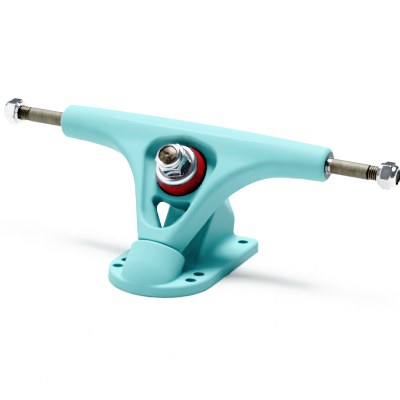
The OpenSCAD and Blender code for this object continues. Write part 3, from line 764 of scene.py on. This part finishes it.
def rounded_section(corners, longest):
    """Points and normals of a section whose corners (r, w, rounding) run counter-clockwise."""
    spots, normals = [], []
    before, after = corners[-1:] + corners[:-1], corners[1:] + corners[:1]
    for (r0, w0, _), (r, w, rounding), (r1, w1, _) in zip(before, corners, after):
        arrive, leave = math.atan2(w - w0, r - r0), math.atan2(w1 - w, r1 - r)
        turn = (leave - arrive + math.pi) % (2 * math.pi) - math.pi
        cut = rounding * math.tan(abs(turn) / 2)
        bend = math.copysign(rounding, turn)
        middle = (
            r - cut * math.cos(arrive) - bend * math.sin(arrive),
            w - cut * math.sin(arrive) + bend * math.cos(arrive),
        )
        for step in range(CORNER_STEPS + 1):
            facing = arrive + turn * step / CORNER_STEPS - math.pi / 2
            spots.append((middle[0] + bend * math.cos(facing), middle[1] + bend * math.sin(facing)))
            normals.append((math.cos(facing), math.sin(facing)))
    fine_spots, fine_normals = [], []
    following = zip(spots[1:] + spots[:1], normals[1:] + normals[:1])
    for spot, normal, (next_spot, next_normal) in zip(spots, normals, following):
        pieces = max(1, math.ceil(math.dist(spot, next_spot) / longest))
        for step in range(pieces):
            share = step / pieces
            fine_spots.append([a + share * (b - a) for a, b in zip(spot, next_spot)])
            fine_normals.append([a + share * (b - a) for a, b in zip(normal, next_normal)])
    return np.array(fine_spots), np.array(fine_normals)


def lathe(name, corners, finish, place, origin, longest=3.0):
    """Turns a closed section round the third axis of place, at an origin in its millimetres."""
    spots, normals = rounded_section(corners, longest)
    on_axis = spots[:, 0] <= 0
    within_axis = on_axis & np.roll(on_axis, 1) & np.roll(on_axis, -1)
    spots, normals = spots[~within_axis], normals[~within_axis]
    turns = np.arange(TURN_STEPS) * 2 * math.pi / TURN_STEPS
    spoke = np.stack([np.cos(turns), np.sin(turns), np.zeros(TURN_STEPS)], axis=1)
    axis = np.array([0, 0, 1.0])
    points = spots[:, None, :1] * spoke + spots[:, None, 1:] * axis + np.array(origin)
    facing = normals[:, None, :1] * spoke + normals[:, None, 1:] * axis
    keep = (spots[:, :1] > 0) | (np.arange(TURN_STEPS) == 0)
    here = np.cumsum(keep).reshape(keep.shape) - 1
    onward = np.roll(here, -1, axis=0)
    quads = np.stack([here, np.roll(here, -1, axis=1), np.roll(onward, -1, axis=1), onward], axis=2)
    faces = [list(dict.fromkeys(quad)) for quad in quads.reshape(-1, 4).tolist()]
    faces = [face for face in faces if len(face) > 2]
    return new_piece(name, points[keep], faces, facing[keep], finish, place)


def ring_section(inner, outer, low, high, rounding):
    corners = (inner, low), (outer, low), (outer, high), (inner, high)
    return [(r, w, rounding) for r, w in corners]


print("lathe ready")

# %% [markdown]
# On the kingpin, from the block up: a flat washer, the board-side bushing, the hanger's web, the tapered
# road-side bushing and a cup washer whose rim wraps its top. The bushings bend between the baseplate
# and the hanger as the truck steers, and here they are attached to neither body.

# %% Washers and bushings on the kingpin
PIN_CLEAR_R = 4.965
FLAT_WASHER_R, WASHER_T, WASHER_EDGE = 11.8, 1.6, 0.3
BUSHING_R, BUSHING_EDGE, BUSHING_STEP, BEARING_GAP = 13.1, 1.1, 1.5, 0.2
ROAD_TOP_R, ROAD_WALL, CUP_DEPTH, CUP_WASHER_R, CUP_ROUND = 11.0, 4.6, 1.3, 11.4, 2.7
ON_KINGPIN = (0, KINGPIN_N, 0)

board_low, board_high = SEAT_K + WASHER_T, BACK_FLOOR - BEARING_GAP
flat_section = ring_section(PIN_CLEAR_R, FLAT_WASHER_R, SEAT_K, board_low, WASHER_EDGE)
board_washer = lathe("boardside_flat_washer", flat_section, washer_chrome, TILTED, ON_KINGPIN)
dress(board_washer, "base", "washer_chrome", "boardside_washer")

cup_low = WASHER_TOP - WASHER_T - CUP_DEPTH
cup_r = CUP_WASHER_R - WASHER_T
cup_washer = lathe("roadside_cup_washer", [
    (PIN_CLEAR_R, cup_low + CUP_DEPTH, 0.2), (cup_r, cup_low + CUP_DEPTH, 0.6), (cup_r, cup_low, 0.1),
    (CUP_WASHER_R, cup_low, 0.1), (CUP_WASHER_R, WASHER_TOP, CUP_ROUND),
    (PIN_CLEAR_R, WASHER_TOP, WASHER_EDGE),
], washer_chrome, TILTED, ON_KINGPIN)
dress(cup_washer, "roadside_washer", "washer_chrome", "roadside_washer")

board_section = ring_section(PIN_CLEAR_R, BUSHING_R, board_low, board_high, BUSHING_EDGE)
board_bushing = lathe("boardside_urethane", board_section, red_urethane, TILTED, ON_KINGPIN, BUSHING_STEP)
road_low, road_high = POCKET_FLOOR + BEARING_GAP, cup_low - BEARING_GAP
neck_r = cup_r - BEARING_GAP
road_bushing = lathe("roadside_urethane", [
    (PIN_CLEAR_R, road_low, 0.5), (BUSHING_R, road_low, 0.8), (BUSHING_R, road_low + ROAD_WALL, 2.5),
    (ROAD_TOP_R, road_high, 0.4), (neck_r, road_high, 0.2), (neck_r, road_high + CUP_DEPTH, 0.4),
    (PIN_CLEAR_R, road_high + CUP_DEPTH, 0.3),
], red_urethane, TILTED, ON_KINGPIN, BUSHING_STEP)


def blend_bushing(piece, node, fixed_k, turning_k):
    """Fixes the bushing's placement in its mesh and hides its node. Its two ends are found but not used."""
    ends = (np.array([0, KINGPIN_N, level]) for level in (fixed_k, turning_k))
    start, end = (Vector((point @ TILTED) * MM) for point in ends)
    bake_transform(piece)
    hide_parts(node)


blend_bushing(board_bushing, "boardside_bushing", board_low, board_high)
blend_bushing(road_bushing, "roadside_bushing", road_high, road_low)

# %% [markdown]
# The pivot cup is a black bush that the hanger's nose turns in. The locknuts' nylon rings sit in their
# collars, and thin speed washers lie inside the axle nuts.

# %% Cup, nylon rings and speed washers
CUP_WALL, CUP_FLOOR, CUP_FIT = 2.4, 2.0, 0.01
RING_FIT, RING_EDGE = 0.02, 0.2
SPEED_WASHER, SPEED_EDGE = (4.03, 6.0, 0.7), 0.18
ON_PIVOT = np.array([ACROSS, -KINGPIN_AXIS, PIVOT_AXIS])

cup_out, cup_in = CUP_R - CUP_FIT, CUP_R - CUP_FIT - CUP_WALL
pivot_cup = lathe("pivot_cup_bush", [
    (0, CUP_END, 0), (cup_out, CUP_END, 0.6), (cup_out, RIM_N, 0.3), (cup_in, RIM_N, 0.3),
    (cup_in, CUP_END + CUP_FLOOR, 0.5), (0, CUP_END + CUP_FLOOR, 0),
], cup_plastic, ON_PIVOT, (0, -PIVOT_K, 0))
dress(pivot_cup, "base", "cup_black", "pivot_cup")


def nylon_ring(name, pin_r, sizes, place, origin):
    """The ring in the collar of a nut of these sizes, whose seat is at origin."""
    _, hex_h, collar_h, _ = sizes
    inner = pin_r + BORE_GAP
    low, high = hex_h + RING_FIT, hex_h + collar_h - NUT_LIP - RING_FIT
    section = ring_section(inner, inner + INSERT_WALL, low, high, RING_EDGE)
    return lathe(name, section, nylon, place, origin)


ring = nylon_ring("kingpin_nut_ring", KINGPIN_R, KINGPIN_NUT, TILTED, KINGPIN_NUT_SEAT)
dress(ring, "kingpin_nut", "nylon", "kingpin_nut_insert")
for side, place, along_k in AXLE_ENDS:
    ring = nylon_ring("axle_nut_ring_" + side, THREAD_R, AXLE_NUT, place, (along_k, AXLE_N, NUT_SEAT))
    dress(ring, side + "_nut", "nylon", "axle_nut_insert_" + side)
    inner, outer, thick = SPEED_WASHER
    for count, where in ((1, "outer"), (2, "inner")):
        low = NUT_SEAT - count * (thick + STACK_GAP)
        section = ring_section(inner, outer, low, low + thick, SPEED_EDGE)
        washer = lathe("speed_ring_%s_%s" % (side, where), section, washer_chrome, place,
                       (along_k, AXLE_N, 0))
        dress(washer, side + "_washers", "washer_chrome", "speed_washer_%s_%s" % (side, where))

# %% [markdown]
# The axle is a straight bar with a bearing journal and a thread at each end. The kingpin is a bolt: its
# hexagon head sits in the baseplate, and its tip, a shallow dome with a centre mark, shows in the nut.

# %% Axle and kingpin
JOURNAL_R, CORE_R, ROOT_R = 3.97, 4.29, 3.42
THREAD_START, AXLE_TIP, TIP_R = 96.5, 111.2, 2.9
SHOULDER, UNDERCUT, TIP_CHAMFER = 0.1, 0.5, 0.7
KINGPIN_TIP, HEAD_H, HEAD_AF, TIP_DOME, TIP_BELT = 57.5, 6.0, 14.29, 9.5, 4.76
KINGPIN_ROOT, KINGPIN_THREAD, KINGPIN_POINT, POINT_LAP = 4.2, 41.0, 55.7, 0.5
POINT_EDGE, DIMPLE_R, DIMPLE_UP, DIMPLE_EDGE = 0.3, 0.9, 0.1, 0.2
KINGPIN_GRID, KINGPIN_REACH, KINGPIN_MARGIN = 0.25, 9, 1
KINGPIN_LOW = (-KINGPIN_REACH, KINGPIN_N - KINGPIN_REACH, HEAD_TOP - HEAD_H - KINGPIN_MARGIN)
KINGPIN_HIGH = (KINGPIN_REACH, KINGPIN_N + KINGPIN_REACH, KINGPIN_TIP + KINGPIN_MARGIN)

axle_half = [
    (CORE_R, HANGER_HALF, 0.1), (JOURNAL_R, HANGER_HALF + SHOULDER, 0.08), (JOURNAL_R, THREAD_START, 0.2),
    (ROOT_R, THREAD_START + UNDERCUT, 0.2), (ROOT_R, AXLE_TIP - TIP_CHAMFER, 0.2), (TIP_R, AXLE_TIP, 0.2),
    (0, AXLE_TIP, 0),
]
other_half = [(r, -w, rounding) for r, w, rounding in axle_half[::-1]]
axle = lathe("axle_bar", other_half + axle_half, journal_steel, ON_RIGHT, (-AXLE_K, AXLE_N, 0))
dress(axle, "hanger", "axle_steel", "axle")


def kingpin_field(x, n, k):
    radius = np.hypot(x, n - KINGPIN_N)
    dome = np.hypot(radius, k - KINGPIN_TIP + TIP_DOME) - TIP_DOME
    point = np.maximum(round_meet(radius - TIP_BELT, dome, POINT_EDGE), KINGPIN_POINT - k)
    dimple = np.hypot(radius, k - KINGPIN_TIP - DIMPLE_UP) - DIMPLE_R
    shank = np.maximum(radius - KINGPIN_R, k - KINGPIN_THREAD)
    root = np.maximum(radius - KINGPIN_ROOT, k - KINGPIN_POINT - POINT_LAP)
    head_faces = np.abs(k - HEAD_TOP + HEAD_H / 2) - HEAD_H / 2
    head = round_meet(hexagon(x, n - KINGPIN_N, HEAD_AF, HEAD_EDGE), head_faces, HEAD_EDGE)
    body = np.minimum(np.minimum(shank, root), round_cut(point, dimple, DIMPLE_EDGE))
    return np.minimum(np.maximum(body, HEAD_TOP - HEAD_H / 2 - k), head)


kingpin = carve("kingpin_bolt", kingpin_field, KINGPIN_LOW, KINGPIN_HIGH, KINGPIN_GRID,
                kingpin_steel, TILTED)
dress(kingpin, "base", "kingpin_steel", "kingpin")

# %% [markdown]
# A screw thread is a ridge that follows a helix, which is what Geometry Nodes do best: a spiral curve, a
# diamond profile swept along it, and a radius that fades at both ends as a cut thread does. One tree with
# named sizes serves both axle ends and the kingpin.

# %% Thread tree
PITCH = 1.058
THREAD_STEPS, RIDGE_SIDES = 40, 4
FADE_SHARE, FADE_LEAST = 0.04, 0.1

tree = bpy.data.node_groups.new("screw_thread", "GeometryNodeTree")
for name, kind, value in (("Radius", "NodeSocketFloat", 1.0), ("Length", "NodeSocketFloat", 1.0),
                          ("Pitch", "NodeSocketFloat", 1.0), ("Depth", "NodeSocketFloat", 1.0),
                          ("Finish", "NodeSocketMaterial", None)):
    socket = tree.interface.new_socket(name, in_out="INPUT", socket_type=kind)
    if value is not None:
        socket.default_value = value
tree.interface.new_socket("Thread", in_out="OUTPUT", socket_type="NodeSocketGeometry")
group_in, group_out = tree.nodes.new("NodeGroupInput"), tree.nodes.new("NodeGroupOutput")


def thread_node(kind, settings, sockets, output=0):
    """Any node of the thread's tree: its settings first, then its sockets' values or links."""
    made = tree.nodes.new(kind)
    for name, value in settings.items():
        setattr(made, name, value)
    for name, value in sockets.items():
        if isinstance(value, bpy.types.NodeSocket):
            tree.links.new(value, made.inputs[name])
        else:
            made.inputs[name].default_value = value
    return made.outputs[output]


size = group_in.outputs
turns = thread_node("ShaderNodeMath", {"operation": "DIVIDE"}, {0: size["Length"], 1: size["Pitch"]})
helix = thread_node("GeometryNodeCurveSpiral", {}, {
    "Resolution": THREAD_STEPS, "Rotations": turns, "Start Radius": size["Radius"],
    "End Radius": size["Radius"], "Height": size["Length"]})
share = thread_node("GeometryNodeSplineParameter", {}, {}, "Factor")
fade_in = thread_node("ShaderNodeMapRange", {}, {
    0: share, 1: 0.0, 2: FADE_SHARE, 3: FADE_LEAST, 4: 1.0})
fade_out = thread_node("ShaderNodeMapRange", {}, {
    0: share, 1: 1.0, 2: 1 - FADE_SHARE, 3: FADE_LEAST, 4: 1.0})
fade = thread_node("ShaderNodeMath", {"operation": "MINIMUM"}, {0: fade_in, 1: fade_out})
helix = thread_node("GeometryNodeSetCurveRadius", {}, {"Curve": helix, "Radius": fade})
helix = thread_node("GeometryNodeSetCurveNormal", {"mode": "Z_UP"}, {"Curve": helix})
ridge = thread_node("GeometryNodeCurvePrimitiveCircle", {}, {
    "Resolution": RIDGE_SIDES, "Radius": size["Depth"]})
swept = thread_node("GeometryNodeCurveToMesh", {}, {
    "Curve": helix, "Profile Curve": ridge, "Fill Caps": True})
real = thread_node("GeometryNodeRealizeInstances", {}, {"Geometry": swept})
done = thread_node("GeometryNodeSetMaterial", {}, {"Geometry": real, "Material": size["Finish"]})
tree.links.new(done, group_out.inputs["Thread"])
print("thread tree:", len(tree.nodes), "nodes")

# %% [markdown]
# The modifier's inputs are set by their identifiers, the evaluated thread becomes a plain mesh, and then it
# is laid along its pin.

# %% Threads
RIDGE, ROOT_SINK = 0.5, 0.05
AXLE_LEAD, AXLE_STOP, KINGPIN_LEAD = 0.6, 0.9, 0.4


def thread(name, root_r, length, place, origin):
    """A thread round the third axis of place, from origin onward."""
    blank = bpy.data.objects.new(name, bpy.data.meshes.new(name))
    scene.collection.objects.link(blank)
    modifier = blank.modifiers.new("thread", "NODES")
    modifier.node_group = tree
    sizes = {"Radius": root_r * MM, "Length": length * MM, "Pitch": PITCH * MM, "Depth": RIDGE * MM,
             "Finish": thread_steel.owner}
    for item in tree.interface.items_tree:
        if item.in_out == "INPUT":
            modifier[item.identifier] = sizes[item.name]
    blank.update_tag()
    graph = bpy.context.evaluated_depsgraph_get()
    mesh = bpy.data.meshes.new_from_object(blank.evaluated_get(graph))
    mesh.transform(Matrix.Translation(Vector(origin) * MM))
    mesh.transform(Matrix(place).transposed().to_4x4())
    blank.modifiers.clear()
    blank.data = mesh
    print("%s: %d faces" % (name, len(mesh.polygons)))
    return blank


axle_lead = THREAD_START + AXLE_LEAD
axle_length = AXLE_TIP - AXLE_STOP - axle_lead
kingpin_length = KINGPIN_POINT - KINGPIN_THREAD - 2 * KINGPIN_LEAD
for side, place, along_k in AXLE_ENDS:
    piece = thread("axle_thread_" + side, ROOT_R - ROOT_SINK, axle_length, place,
                   (along_k, AXLE_N, axle_lead))
    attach(piece, "hanger")
piece = thread("kingpin_thread", KINGPIN_ROOT - ROOT_SINK, kingpin_length, TILTED,
               (0, KINGPIN_N, KINGPIN_THREAD + KINGPIN_LEAD))
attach(piece, "base")
